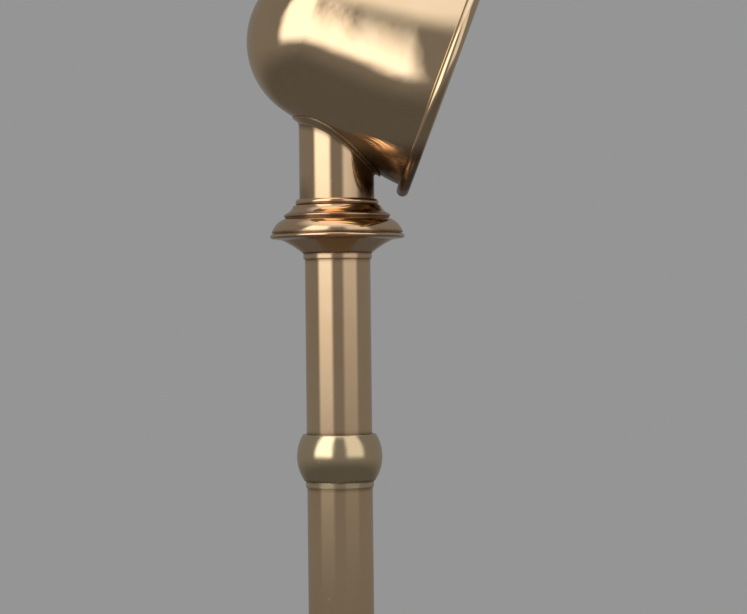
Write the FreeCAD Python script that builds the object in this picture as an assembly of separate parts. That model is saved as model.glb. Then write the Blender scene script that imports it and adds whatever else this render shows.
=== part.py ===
"""Cowl vent: a swivelling spun-brass head on a turned collar, standpipe and deck flange.

All sizes are millimetres. +Z is up and the deck surface is z = 0, with the origin on the
standpipe's axis. The mouth of the cowl looks along +X and a little downwards.
"""
import FreeCAD, Part
import math
import os

from FreeCAD import Vector

os.makedirs("parts", exist_ok=True)

Y_AXIS = Vector(0, 1, 0)
Z_AXIS = Vector(0, 0, 1)
ORIGIN = Vector(0, 0, 0)

# Standard tube: 1-3/4 inch standpipe and 2 inch neck.
pipe_r = 22.225
pipe_wall = 1.6
pipe_bore_r = pipe_r - pipe_wall
neck_r = 25.4
neck_wall = 1.6
neck_bore_r = neck_r - neck_wall

# Heights of the joints above the deck.
flange_top_z = 20.0
ball_centre_z = 165.0
collar_bottom_z = 302.8
seam_z = 316.7
collar_top_z = 339.4
dome_centre_x = -4.5
dome_centre_z = 445.9

# Cowl: a spherical back, a cone tangent to it and a rim that eases towards a cylinder.
dome_r = 55.6
sheet = 1.5
cone_half_angle = math.radians(13.4)
rim_start = 54.3
rim_arc_r = 160.0
rim_end_angle = math.radians(3.3)
mouth_dip = 21.0
roll_r = 4.1
roll_sweep = math.radians(300)
wire_gap = 0.05

# Brazed saddle that joins the neck to the cowl.
saddle_r = 29.6
saddle_thick = 1.4

# Swivel inside the collar.
running_gap = 0.05
body_gap = 0.3
web_bottom_z = 313.2
web_top_z = 316.2
throat_r = 21.2
thrust_washer_top_z = 317.7
spigot_flange_z = thrust_washer_top_z + body_gap
spigot_flange_r = 29.0
spigot_flange_thick = 3.0
neck_foot_z = spigot_flange_z + spigot_flange_thick
spigot_top_z = 340.0
spigot_screw_z = 329.4
swivel_cavity_r = 30.0
thread_r = 35.0
shoulder_z = 322.8
seal_groove_z = 333.0
seal_wire_r = 1.25

# Insect screen on top of the spigot.
screen_r = neck_bore_r
screen_thick = 0.8
screen_pitch = 4.2
screen_hole = 3.3
screen_ring_thick = 1.4
screen_ring_bore_r = 21.6

# Clamping screw at the back of the collar.
lock_z = 326.7
lock_hole_r = 2.05
lock_shank_r = 2.0
pad_inner_r = 25.65
pad_outer_y = 28.3
lock_head_y = 44.2
lock_head_r = 6.0
lock_head_long = 8.0
bush_r = 3.6
bush_start_y = 33.4
bush_end_y = 42.8

# Ball knop that joins the two lengths of standpipe.
ball_r = 29.0
ball_top_z = 180.2
ball_foot_z = 148.6
ball_ring_r = 23.1
ball_ring_bottom_z = 144.2
register_half = 0.8

# Deck flange and gasket.
flange_r = 60.0
flange_plate = 5.0
gasket_thick = 1.5
boss_r = 28.5
cove_r = 9.0
deck_hole_r = 3.25
deck_head_r = 6.0
deck_pcd = 96.0
socket_screw_r = 3.0
socket_screw_z = 16.0
socket_screw_angles = (70, 110)


def ring_point(radius, height):
    """A point of a turned outline, drawn in the XZ plane."""
    return Vector(radius, 0, height)


def line(first, last):
    """A straight edge between two points."""
    return Part.LineSegment(first, last).toShape()


def arc(first, middle, last):
    """A circular edge through three points."""
    return Part.Arc(first, middle, last).toShape()


def turned(edges):
    """Spin a closed outline of edges about the Z axis."""
    wire = Part.Wire(edges)
    return Part.Face(wire).revolve(ORIGIN, Z_AXIS, 360)


def turned_corners(corners):
    """Spin a closed outline of straight edges, given as (radius, height) pairs."""
    points = [ring_point(radius, height) for radius, height in corners]
    points.append(points[0])
    return turned([line(a, b) for a, b in zip(points, points[1:])])


def disc(radius, bottom, top):
    """An upright solid cylinder on the Z axis."""
    return Part.makeCylinder(radius, top - bottom, Vector(0, 0, bottom), Z_AXIS)


def tube(outer, inner, bottom, top):
    """An upright tube on the Z axis."""
    return disc(outer, bottom, top).cut(disc(inner, bottom - 1, top + 1))


def radial_rod(radius, start, end, height, angle):
    """A round rod pointing outwards from the Z axis at the given height and angle."""
    direction = Vector(math.cos(math.radians(angle)), math.sin(math.radians(angle)), 0)
    base = direction * start + Vector(0, 0, height)
    return Part.makeCylinder(radius, end - start, base, direction)


def hex_rod(flat_radius, start, end, height, angle):
    """A six-sided key socket pointing outwards from the Z axis."""
    corners = []
    for step in range(7):
        turn = math.radians(60 * step)
        corners.append(Vector(start, flat_radius * math.cos(turn), flat_radius * math.sin(turn)))
    socket = Part.Face(Part.makePolygon(corners)).extrude(Vector(end - start, 0, 0))
    socket.rotate(ORIGIN, Z_AXIS, angle)
    socket.translate(Vector(0, 0, height))
    return socket


def grub_screw(radius, start, end, height, angle):
    """A headless set screw with a key socket in its outer end."""
    screw = radial_rod(radius, start, end, height, angle)
    return screw.cut(hex_rod(radius * 0.55, end - 2.0, end + 1.0, height, angle))


def between(centre, radius, turn):
    """The point of an outline circle at an angle measured from outwards towards the mouth."""
    return Vector(centre.x + radius * math.cos(turn), 0, centre.z + radius * math.sin(turn))


def cowl_points(offset):
    """Key points of the cowl's section, moved outwards by offset, in the cowl's own frame.

    The dome is centred on the origin and the mouth faces +Z.
    """
    radius = dome_r + offset
    tangent = ring_point(radius * math.cos(cone_half_angle), -radius * math.sin(cone_half_angle))
    start_r = dome_r / math.cos(cone_half_angle) + rim_start * math.tan(cone_half_angle)
    arc_centre = between(ring_point(start_r, rim_start), -rim_arc_r, -cone_half_angle)
    rim_r = rim_arc_r + offset
    middle_angle = (cone_half_angle + rim_end_angle) / 2
    return {
        "pole": ring_point(0, -radius),
        "back": between(ORIGIN, radius, -math.radians(50)),
        "tangent": tangent,
        "rim_start": between(arc_centre, rim_r, -cone_half_angle),
        "rim_middle": between(arc_centre, rim_r, -middle_angle),
        "rim_end": between(arc_centre, rim_r, -rim_end_angle),
    }


def cowl_side(points):
    """The edges of the cowl's section from the pole to the rim."""
    return [
        arc(points["pole"], points["back"], points["tangent"]),
        line(points["tangent"], points["rim_start"]),
        arc(points["rim_start"], points["rim_middle"], points["rim_end"]),
    ]


def set_on_neck(shape):
    """Tip the cowl so that its mouth faces +X and dips, and lift it over the neck."""
    shape.rotate(ORIGIN, Y_AXIS, 90 + mouth_dip)
    shape.translate(Vector(dome_centre_x, 0, dome_centre_z))
    return shape


def cowl_envelope(offset):
    """A solid as large as the cowl moved outwards by offset, closed across the mouth."""
    points = cowl_points(offset)
    edges = cowl_side(points)
    axis_point = ring_point(0, points["rim_end"].z)
    edges.append(line(points["rim_end"], axis_point))
    edges.append(line(axis_point, points["pole"]))
    return set_on_neck(turned(edges))


def roll_centre():
    """Centre of the rolled edge in the cowl's section."""
    inner_end = cowl_points(-sheet)["rim_end"]
    return between(inner_end, roll_r, -rim_end_angle)


def roll_point(radius, travel):
    """A point on the rolled edge, travelling from the sheet's inside round the front."""
    return between(roll_centre(), radius, math.pi - rim_end_angle - travel)


def make_cowl_shell():
    """Spun cowl: dome, cone and rim in one sheet, with its edge rolled outwards."""
    outer = cowl_points(0)
    inner = cowl_points(-sheet)
    inside_roll = roll_r - sheet
    edges = cowl_side(outer)
    edges.append(arc(outer["rim_end"], roll_point(inside_roll, roll_sweep / 2),
                     roll_point(inside_roll, roll_sweep)))
    edges.append(line(roll_point(inside_roll, roll_sweep), roll_point(roll_r, roll_sweep)))
    edges.append(arc(roll_point(roll_r, roll_sweep), roll_point(roll_r, roll_sweep / 2),
                     inner["rim_end"]))
    edges.append(arc(inner["rim_end"], inner["rim_middle"], inner["rim_start"]))
    edges.append(line(inner["rim_start"], inner["tangent"]))
    edges.append(arc(inner["tangent"], inner["back"], inner["pole"]))
    edges.append(line(inner["pole"], outer["pole"]))
    shell = set_on_neck(turned(edges))
    return shell.cut(disc(neck_bore_r, neck_foot_z, dome_centre_z - dome_r / 3))


def make_edge_wire():
    """Stiffening wire inside the rolled edge."""
    centre = roll_centre()
    wire = Part.makeTorus(centre.x, roll_r - sheet - wire_gap, Vector(0, 0, centre.z), Z_AXIS)
    return set_on_neck(wire)


def make_neck_tube():
    """Neck tube, coped to the underside of the cowl."""
    neck = tube(neck_r, neck_bore_r, neck_foot_z, dome_centre_z - dome_r / 3)
    neck = neck.cut(cowl_envelope(0))
    for screw in spigot_screw_list():
        neck = neck.cut(screw)
    return neck


def make_neck_saddle():
    """Brazed saddle plate that follows the cowl round the top of the neck."""
    plate = cowl_envelope(saddle_thick).cut(cowl_envelope(0))
    plate = plate.common(disc(saddle_r, neck_foot_z, dome_centre_z - dome_r / 3))
    return plate.cut(disc(neck_r, neck_foot_z, dome_centre_z))


def spigot_screw_list():
    """Flush screws that hold the spigot in the neck, hidden inside the collar."""
    screws = []
    for angle in (30, 150, 270):
        shank = radial_rod(1.3, throat_r + 0.15, 24.2, spigot_screw_z, angle)
        screws.append(shank.fuse(radial_rod(2.2, 24.2, neck_r - 0.12, spigot_screw_z, angle)).removeSplitter())
    return screws


def make_spigot_screws():
    """The three flush screws as one group."""
    return Part.makeCompound(spigot_screw_list())


def make_swivel_spigot():
    """Flanged sleeve in the foot of the neck; its flange is trapped inside the collar."""
    spigot = turned_corners([
        (throat_r, spigot_flange_z),
        (spigot_flange_r, spigot_flange_z),
        (spigot_flange_r, neck_foot_z),
        (neck_bore_r, neck_foot_z),
        (neck_bore_r, spigot_top_z),
        (throat_r, spigot_top_z),
    ])
    for screw in spigot_screw_list():
        spigot = spigot.cut(screw)
    return spigot


def make_screen_gauze():
    """Insect screen across the neck, resting on the spigot."""
    bottom = spigot_top_z
    plate = disc(screen_r, bottom, bottom + screen_thick)
    reach = int(screen_r // screen_pitch)
    holes = []
    for column in range(-reach, reach + 1):
        for row in range(-reach, reach + 1):
            if math.hypot(column, row) * screen_pitch + screen_hole < screen_r:
                corner = Vector(column * screen_pitch - screen_hole / 2,
                                row * screen_pitch - screen_hole / 2, bottom - 1)
                holes.append(Part.makeBox(screen_hole, screen_hole, screen_thick + 2, corner))
    return plate.cut(Part.makeCompound(holes))


def make_screen_ring():
    """Sprung ring that keeps the screen down, with its ends parted."""
    bottom = spigot_top_z + screen_thick
    ring = tube(neck_bore_r, screen_ring_bore_r, bottom, bottom + screen_ring_thick)
    gap = Part.makeBox(neck_bore_r, 3.0, 10.0, Vector(-neck_bore_r - 1, -1.5, bottom - 5))
    return ring.cut(gap)


def make_collar_cap():
    """Upper half of the collar: top ring, hollow, fillet and ovolo."""
    bore_r = neck_r + running_gap
    edges = [
        line(ring_point(bore_r, shoulder_z), ring_point(bore_r, collar_top_z - 0.4)),
        line(ring_point(bore_r, collar_top_z - 0.4), ring_point(bore_r + 0.4, collar_top_z)),
        line(ring_point(bore_r + 0.4, collar_top_z), ring_point(27.1, collar_top_z)),
        arc(ring_point(27.1, collar_top_z), ring_point(28.2, collar_top_z - 1.6),
            ring_point(27.6, collar_top_z - 4.0)),
        line(ring_point(27.6, collar_top_z - 4.0), ring_point(29.6, collar_top_z - 4.4)),
        arc(ring_point(29.6, collar_top_z - 4.4), ring_point(32.0, collar_top_z - 7.8),
            ring_point(35.2, collar_top_z - 10.2)),
        arc(ring_point(35.2, collar_top_z - 10.2), ring_point(36.0, collar_top_z - 11.2),
            ring_point(35.3, collar_top_z - 12.2)),
        line(ring_point(35.3, collar_top_z - 12.2), ring_point(35.0, collar_top_z - 12.9)),
        arc(ring_point(35.0, collar_top_z - 12.9), ring_point(41.4, collar_top_z - 17.0),
            ring_point(44.6, seam_z)),
        line(ring_point(44.6, seam_z), ring_point(thread_r, seam_z)),
        line(ring_point(thread_r, seam_z), ring_point(thread_r, shoulder_z)),
        line(ring_point(thread_r, shoulder_z), ring_point(bore_r, shoulder_z)),
    ]
    cap = turned(edges)
    groove = tube(neck_r + 2 * seal_wire_r + 0.3, neck_r - 1,
                  seal_groove_z - seal_wire_r - 0.15, seal_groove_z + seal_wire_r + 0.15)
    cap = cap.cut(groove)
    cap = cap.cut(radial_rod(lock_hole_r, neck_r - 2, 50, lock_z, 90))
    return cap.cut(radial_rod(bush_r, bush_start_y, 50, lock_z, 90))


def make_collar_cup():
    """Lower half of the collar: thin lip, dished underside and the socket for the pipe."""
    edges = [
        line(ring_point(pipe_r, collar_bottom_z), ring_point(pipe_r, web_bottom_z)),
        line(ring_point(pipe_r, web_bottom_z), ring_point(throat_r, web_bottom_z)),
        line(ring_point(throat_r, web_bottom_z), ring_point(throat_r, web_top_z)),
        line(ring_point(throat_r, web_top_z), ring_point(swivel_cavity_r, web_top_z)),
        line(ring_point(swivel_cavity_r, web_top_z), ring_point(swivel_cavity_r, shoulder_z - 0.2)),
        line(ring_point(swivel_cavity_r, shoulder_z - 0.2), ring_point(thread_r, shoulder_z - 0.2)),
        line(ring_point(thread_r, shoulder_z - 0.2), ring_point(thread_r, seam_z)),
        line(ring_point(thread_r, seam_z), ring_point(43.2, seam_z)),
        line(ring_point(43.2, seam_z), ring_point(43.2, seam_z - 0.9)),
        line(ring_point(43.2, seam_z - 0.9), ring_point(44.4, seam_z - 0.9)),
        arc(ring_point(44.4, seam_z - 0.9), ring_point(45.7, seam_z - 2.4),
            ring_point(44.4, seam_z - 3.9)),
        line(ring_point(44.4, seam_z - 3.9), ring_point(37.8, seam_z - 4.9)),
        arc(ring_point(37.8, seam_z - 4.9), ring_point(29.6, seam_z - 9.4),
            ring_point(23.4, collar_bottom_z)),
        line(ring_point(23.4, collar_bottom_z), ring_point(pipe_r, collar_bottom_z)),
    ]
    return turned(edges)


def make_weather_seal():
    """Rubber ring that keeps rain out of the swivel."""
    centre_r = neck_r + 0.2 + seal_wire_r
    return Part.makeTorus(centre_r, seal_wire_r, Vector(0, 0, seal_groove_z), Z_AXIS)


def make_friction_washer():
    """Felt washer under the collar's shoulder."""
    return tube(spigot_flange_r + 0.3, neck_r + 0.4, neck_foot_z + body_gap, shoulder_z)


def make_thrust_washer():
    """Bronze washer that carries the weight of the head."""
    return tube(spigot_flange_r + 0.5, throat_r + 0.4, web_top_z, thrust_washer_top_z)


def make_collar_lock_ring():
    """Narrow ring under the collar."""
    edge_r = pipe_r + 1.0
    return turned_corners([
        (pipe_r, collar_bottom_z - 4.0),
        (edge_r - 0.3, collar_bottom_z - 4.0),
        (edge_r, collar_bottom_z - 3.6),
        (edge_r, collar_bottom_z - 0.4),
        (edge_r - 0.3, collar_bottom_z),
        (pipe_r, collar_bottom_z),
    ])


def make_upper_pipe():
    """Standpipe from the ball knop up into the collar."""
    return tube(pipe_r, pipe_bore_r, ball_centre_z + register_half, web_bottom_z)


def make_lower_pipe():
    """Standpipe from the deck up into the ball knop."""
    return tube(pipe_r, pipe_bore_r, 0, ball_centre_z - register_half)


def ball_section_r(height):
    """Radius of the ball at a height."""
    return math.sqrt(ball_r ** 2 - (height - ball_centre_z) ** 2)


def make_ball_knop():
    """Cast ball that sleeves the two pipes, with a register rib between their ends."""
    rib_bottom = ball_centre_z - register_half
    rib_top = ball_centre_z + register_half
    edges = [
        line(ring_point(pipe_r, ball_top_z), ring_point(ball_section_r(ball_top_z), ball_top_z)),
        arc(ring_point(ball_section_r(ball_top_z), ball_top_z), ring_point(ball_r, ball_centre_z),
            ring_point(ball_section_r(ball_foot_z), ball_foot_z)),
        line(ring_point(ball_section_r(ball_foot_z), ball_foot_z), ring_point(pipe_r, ball_foot_z)),
        line(ring_point(pipe_r, ball_foot_z), ring_point(pipe_r, rib_bottom)),
        line(ring_point(pipe_r, rib_bottom), ring_point(pipe_bore_r, rib_bottom)),
        line(ring_point(pipe_bore_r, rib_bottom), ring_point(pipe_bore_r, rib_top)),
        line(ring_point(pipe_bore_r, rib_top), ring_point(pipe_r, rib_top)),
        line(ring_point(pipe_r, rib_top), ring_point(pipe_r, ball_top_z)),
    ]
    knop = turned(edges)
    for height in (ball_centre_z + 7, ball_centre_z - 7):
        knop = knop.cut(radial_rod(2.5, pipe_r - 1, ball_r + 1, height, 90))
    return knop


def make_ball_set_screws():
    """Set screws at the back of the ball, one for each pipe."""
    screws = []
    for height in (ball_centre_z + 7, ball_centre_z - 7):
        screws.append(grub_screw(2.5, pipe_r, 28.0, height, 90))
    return Part.makeCompound(screws)


def make_ball_ring():
    """Narrow ring under the ball."""
    return tube(ball_ring_r, pipe_r, ball_ring_bottom_z, ball_foot_z)


def make_deck_flange():
    """Deck flange: a round plate with a softened edge and four countersunk holes."""
    plate_top = gasket_thick + flange_plate
    edges = [
        line(ring_point(pipe_r, gasket_thick), ring_point(flange_r, gasket_thick)),
        line(ring_point(flange_r, gasket_thick), ring_point(flange_r, plate_top - 2.5)),
        arc(ring_point(flange_r, plate_top - 2.5), ring_point(flange_r - 0.73, plate_top - 0.73),
            ring_point(flange_r - 2.5, plate_top)),
        line(ring_point(flange_r - 2.5, plate_top), ring_point(pipe_r, plate_top)),
        line(ring_point(pipe_r, plate_top), ring_point(pipe_r, gasket_thick)),
    ]
    flange = turned(edges)
    sink = deck_head_r - deck_hole_r
    for place in deck_hole_places():
        flange = flange.cut(Part.makeCylinder(deck_hole_r, 20, place - Z_AXIS, Z_AXIS))
        cone_base = place + Vector(0, 0, plate_top - sink)
        flange = flange.cut(Part.makeCone(deck_hole_r, deck_head_r + 1, sink + 1, cone_base, Z_AXIS))
    return flange


def make_pipe_socket():
    """Coved socket, brazed to the flange, that clasps the foot of the standpipe."""
    foot_z = gasket_thick + flange_plate
    cove_centre = ring_point(boss_r + cove_r, foot_z + cove_r)
    edges = [
        line(ring_point(pipe_r, foot_z), ring_point(boss_r + cove_r, foot_z)),
        arc(ring_point(boss_r + cove_r, foot_z), between(cove_centre, cove_r, math.radians(225)),
            ring_point(boss_r, foot_z + cove_r)),
        line(ring_point(boss_r, foot_z + cove_r), ring_point(boss_r, flange_top_z - 1.5)),
        arc(ring_point(boss_r, flange_top_z - 1.5), ring_point(boss_r - 0.44, flange_top_z - 0.44),
            ring_point(boss_r - 1.5, flange_top_z)),
        line(ring_point(boss_r - 1.5, flange_top_z), ring_point(pipe_r, flange_top_z)),
        line(ring_point(pipe_r, flange_top_z), ring_point(pipe_r, foot_z)),
    ]
    socket = turned(edges)
    for angle in socket_screw_angles:
        socket = socket.cut(radial_rod(socket_screw_r, pipe_r - 1, boss_r + 1, socket_screw_z, angle))
    return socket


def deck_hole_places():
    """Centres of the deck fixing holes at deck level."""
    places = []
    for step in range(4):
        turn = math.radians(45 + 90 * step)
        places.append(Vector(deck_pcd / 2 * math.cos(turn), deck_pcd / 2 * math.sin(turn), 0))
    return places


def make_socket_set_screws():
    """Set screws at the back of the socket that grip the standpipe."""
    screws = []
    for angle in socket_screw_angles:
        screws.append(grub_screw(socket_screw_r, pipe_r, boss_r - 0.5, socket_screw_z, angle))
    return Part.makeCompound(screws)


def make_deck_gasket():
    """Gasket between the flange and the deck."""
    gasket = tube(flange_r - 0.5, pipe_r, 0, gasket_thick)
    for place in deck_hole_places():
        gasket = gasket.cut(Part.makeCylinder(deck_hole_r, 10, place - Z_AXIS * 5, Z_AXIS))
    return gasket


def make_screw_bush():
    """Threaded bush let into the back of the collar for the clamping screw."""
    bush = radial_rod(bush_r, bush_start_y, bush_end_y, lock_z, 90)
    return bush.cut(radial_rod(lock_hole_r, bush_start_y - 1, bush_end_y + 1, lock_z, 90))


def make_lock_pad():
    """Brass pad between the clamping screw and the neck."""
    pad = radial_rod(lock_shank_r, pad_inner_r - 3, pad_outer_y, lock_z, 90)
    return pad.cut(disc(pad_inner_r, lock_z - 10, lock_z + 10))


def make_lock_screw():
    """Clamping screw with a knurled thumb head."""
    shank = radial_rod(lock_shank_r, pad_outer_y + body_gap, lock_head_y + 1, lock_z, 90)
    head = radial_rod(lock_head_r, lock_head_y, lock_head_y + lock_head_long, lock_z, 90)
    neck_waist = radial_rod(lock_head_r + 1, lock_head_y - 1, lock_head_y + 1.5, lock_z, 90)
    neck_waist = neck_waist.cut(radial_rod(4.2, lock_head_y - 2, lock_head_y + 2, lock_z, 90))
    head = head.cut(neck_waist)
    flutes = []
    for step in range(18):
        turn = math.radians(20 * step)
        place = Vector((lock_head_r + 0.35) * math.cos(turn), lock_head_y,
                       lock_z + (lock_head_r + 0.35) * math.sin(turn))
        flutes.append(Part.makeCylinder(0.75, lock_head_long + 1, place, Y_AXIS))
    head = head.cut(Part.makeCompound(flutes))
    return shank.fuse(head).removeSplitter()


makers = {
    "cowl_shell": make_cowl_shell,
    "edge_wire": make_edge_wire,
    "neck_tube": make_neck_tube,
    "neck_saddle": make_neck_saddle,
    "swivel_spigot": make_swivel_spigot,
    "spigot_screws": make_spigot_screws,
    "screen_gauze": make_screen_gauze,
    "screen_ring": make_screen_ring,
    "collar_cap": make_collar_cap,
    "collar_cup": make_collar_cup,
    "weather_seal": make_weather_seal,
    "friction_washer": make_friction_washer,
    "thrust_washer": make_thrust_washer,
    "collar_lock_ring": make_collar_lock_ring,
    "upper_pipe": make_upper_pipe,
    "ball_knop": make_ball_knop,
    "ball_ring": make_ball_ring,
    "ball_set_screws": make_ball_set_screws,
    "lower_pipe": make_lower_pipe,
    "deck_flange": make_deck_flange,
    "pipe_socket": make_pipe_socket,
    "socket_set_screws": make_socket_set_screws,
    "deck_gasket": make_deck_gasket,
    "screw_bush": make_screw_bush,
    "lock_pad": make_lock_pad,
    "lock_screw": make_lock_screw,
}

for node_name, make in makers.items():
    make().exportStep("parts/" + node_name + ".step")
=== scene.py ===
"""Looks of the cowl vent: polished brass pieces turned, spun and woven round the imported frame.

Sizes in the sub-assembly classes are millimetres in the frame's own axes. Meshes are made in metres.
"""
import logging
import math
from dataclasses import dataclass, field
from enum import Enum
from typing import Callable

import bpy
import numpy as np
from mathutils import Matrix, Vector


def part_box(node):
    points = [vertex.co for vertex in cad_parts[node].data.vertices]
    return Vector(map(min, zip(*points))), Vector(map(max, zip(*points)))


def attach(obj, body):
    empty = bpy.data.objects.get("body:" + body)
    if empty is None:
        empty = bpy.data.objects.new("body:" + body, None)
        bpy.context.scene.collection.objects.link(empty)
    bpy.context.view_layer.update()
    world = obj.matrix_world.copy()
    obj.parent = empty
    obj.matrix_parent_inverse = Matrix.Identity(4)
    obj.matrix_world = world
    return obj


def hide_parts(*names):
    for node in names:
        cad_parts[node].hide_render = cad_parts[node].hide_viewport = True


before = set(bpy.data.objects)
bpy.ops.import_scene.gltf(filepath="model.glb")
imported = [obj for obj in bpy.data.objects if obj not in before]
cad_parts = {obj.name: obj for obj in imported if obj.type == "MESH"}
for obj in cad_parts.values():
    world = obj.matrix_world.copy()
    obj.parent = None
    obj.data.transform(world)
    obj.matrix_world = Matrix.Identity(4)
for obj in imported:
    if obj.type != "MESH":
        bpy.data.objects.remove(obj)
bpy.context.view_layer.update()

MM = 0.001
LOG = logging.getLogger("cowl_vent")

Colour = tuple[float, float, float]
Point = tuple[float, float]


# ---------------------------------------------------------------------------------------------
# Shader maths
# ---------------------------------------------------------------------------------------------


class Value:
    """A shader socket that takes part in Python arithmetic by adding its own Math nodes."""

    def __init__(self, shader: "Shader", socket: bpy.types.NodeSocket) -> None:
        """Wrap a socket.

        Args:
            shader: The node tree that the socket belongs to.
            socket: The output socket to wrap.
        """
        self.shader = shader
        self.socket = socket

    def math(self, operation: str, *others: "Value | float") -> "Value":
        """Pass this value through one Math node.

        Args:
            operation: The Math node's operation.
            others: The further operands, values or plain numbers.

        Returns:
            The node's result.
        """
        return self.shader.math(operation, self, *others)

    def __add__(self, other: "Value | float") -> "Value":
        """Sum of two values."""
        return self.shader.math("ADD", self, other)

    def __radd__(self, other: "Value | float") -> "Value":
        """Sum with a plain number on the left."""
        return self.shader.math("ADD", other, self)

    def __sub__(self, other: "Value | float") -> "Value":
        """Difference of two values."""
        return self.shader.math("SUBTRACT", self, other)

    def __rsub__(self, other: "Value | float") -> "Value":
        """Difference with a plain number on the left."""
        return self.shader.math("SUBTRACT", other, self)

    def __mul__(self, other: "Value | float") -> "Value":
        """Product of two values."""
        return self.shader.math("MULTIPLY", self, other)

    def __rmul__(self, other: "Value | float") -> "Value":
        """Product with a plain number on the left."""
        return self.shader.math("MULTIPLY", other, self)

    def __truediv__(self, other: "Value | float") -> "Value":
        """Quotient of two values."""
        return self.shader.math("DIVIDE", self, other)

    def smooth(self, low: float, high: float) -> "Value":
        """Rise softly from 0 at low to 1 at high.

        Args:
            low: The value that gives 0.
            high: The value that gives 1.

        Returns:
            The eased value.
        """
        node = self.shader.node(
            "ShaderNodeMapRange",
            {"interpolation_type": "SMOOTHSTEP"},
            {"Value": self, "From Min": low, "From Max": high},
        )
        return Value(self.shader, node.outputs["Result"])

    def clamped(self) -> "Value":
        """Limit to the range 0 to 1."""
        node = self.shader.node("ShaderNodeClamp", {}, {"Value": self})
        return Value(self.shader, node.outputs[0])


class Shader:
    """A node tree and the few ways in which this file adds nodes to it."""

    def __init__(self, tree: bpy.types.NodeTree) -> None:
        """Start on an emptied tree.

        Args:
            tree: The tree of a material or world.
        """
        self.tree = tree
        tree.nodes.clear()

    def node(self, kind: str, settings: dict, inputs: dict) -> bpy.types.Node:
        """Add any node.

        Args:
            kind: The node's type name.
            settings: Properties set first; "stops" fills a colour ramp.
            inputs: Socket name or number to a Value, socket, number or tuple.

        Returns:
            The new node.
        """
        made = self.tree.nodes.new(kind)
        for name, setting in settings.items():
            if name == "stops":
                self._fill_ramp(made, setting)
            else:
                setattr(made, name, setting)
        for name, given in inputs.items():
            target = made.inputs[name]
            if isinstance(given, Value):
                self.tree.links.new(given.socket, target)
            elif isinstance(given, bpy.types.NodeSocket):
                self.tree.links.new(given, target)
            else:
                target.default_value = given
        return made

    @staticmethod
    def _fill_ramp(ramp: bpy.types.Node, stops: list[tuple[float, Colour]]) -> None:
        """Give a colour ramp its stops.

        Args:
            ramp: The ramp node.
            stops: Places from 0 to 1 with their colours, in order.
        """
        elements = ramp.color_ramp.elements
        while len(elements) < len(stops):
            elements.new(1.0)
        for element, (place, colour) in zip(elements, stops):
            element.position = place
            element.color = (*colour, 1.0)

    def math(self, operation: str, *operands: "Value | float") -> Value:
        """Add a Math node.

        Args:
            operation: Its operation.
            operands: Its inputs in order.

        Returns:
            Its result.
        """
        node = self.node("ShaderNodeMath", {"operation": operation}, dict(enumerate(operands)))
        return Value(self, node.outputs[0])

    def vector_math(self, operation: str, first: bpy.types.NodeSocket, second: object) -> bpy.types.Node:
        """Add a Vector Math node.

        Args:
            operation: Its operation.
            first: The first vector.
            second: The second vector, or the number of a scale.

        Returns:
            The node, whose Vector or Value output is wanted.
        """
        name = "Scale" if operation == "SCALE" else 1
        return self.node("ShaderNodeVectorMath", {"operation": operation}, {0: first, name: second})

    def mix(self, factor: "Value | float", first: object, second: object) -> bpy.types.NodeSocket:
        """Mix two colours.

        Args:
            factor: 0 for the first colour, 1 for the second.
            first: A colour or a colour socket.
            second: A colour or a colour socket.

        Returns:
            The mixed colour's socket.
        """
        node = self.node("ShaderNodeMix", {"data_type": "RGBA"}, {})
        for socket_index, given in ((0, factor), (6, first), (7, second)):
            target = node.inputs[socket_index]
            if isinstance(given, Value):
                self.tree.links.new(given.socket, target)
            elif isinstance(given, bpy.types.NodeSocket):
                self.tree.links.new(given, target)
            elif isinstance(given, tuple):
                target.default_value = (*given, 1.0)
            else:
                target.default_value = given
        return node.outputs[2]

    def place(self) -> bpy.types.NodeSocket:
        """The point on the piece, in metres, in the frame's axes."""
        return self.node("ShaderNodeTexCoord", {}, {}).outputs["Object"]

    def stretched(self, vector: bpy.types.NodeSocket, scale: tuple[float, float, float]) -> bpy.types.NodeSocket:
        """A vector with each axis scaled by its own amount."""
        return self.vector_math("MULTIPLY", vector, scale).outputs[0]

    def noise(self, vector: bpy.types.NodeSocket, per_metre: float, detail: float = 2.0,
              roughness: float = 0.5) -> Value:
        """Cloudy noise.

        Args:
            vector: Where to read it.
            per_metre: How many features fit in a metre.
            detail: How many finer layers it has.
            roughness: How strong the finer layers are.

        Returns:
            A value round 0.5.
        """
        node = self.node(
            "ShaderNodeTexNoise",
            {},
            {"Vector": vector, "Scale": per_metre, "Detail": detail, "Roughness": roughness},
        )
        return Value(self, node.outputs["Fac"])

    def parts(self, vector: bpy.types.NodeSocket) -> tuple[Value, Value, Value]:
        """The three parts of a vector as values."""
        node = self.node("ShaderNodeSeparateXYZ", {}, {0: vector})
        return tuple(Value(self, output) for output in node.outputs)

    def joined(self, x: "Value | float", y: "Value | float", z: "Value | float") -> bpy.types.NodeSocket:
        """A vector made of three values."""
        return self.node("ShaderNodeCombineXYZ", {}, {0: x, 1: y, 2: z}).outputs[0]


# ---------------------------------------------------------------------------------------------
# Finishes
# ---------------------------------------------------------------------------------------------

COWL_DIP = math.radians(21.0)
COWL_AXIS = Vector((math.cos(COWL_DIP), 0.0, -math.sin(COWL_DIP)))
# Attribute of joint and bore grime, and of painted shade in the neck's corner under the cowl's rim.
GRIME_AND_SHADE = "grime"


class Lines(Enum):
    """Which way the marks of turning, spinning or drawing run on a piece."""

    ROUND_PIPE = "rings round the standpipe's axis"
    ALONG_PIPE = "streaks along the standpipe"
    ROUND_COWL = "rings round the cowl's axis"
    ROUND_SCREW = "rings round the clamping screw"


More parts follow.
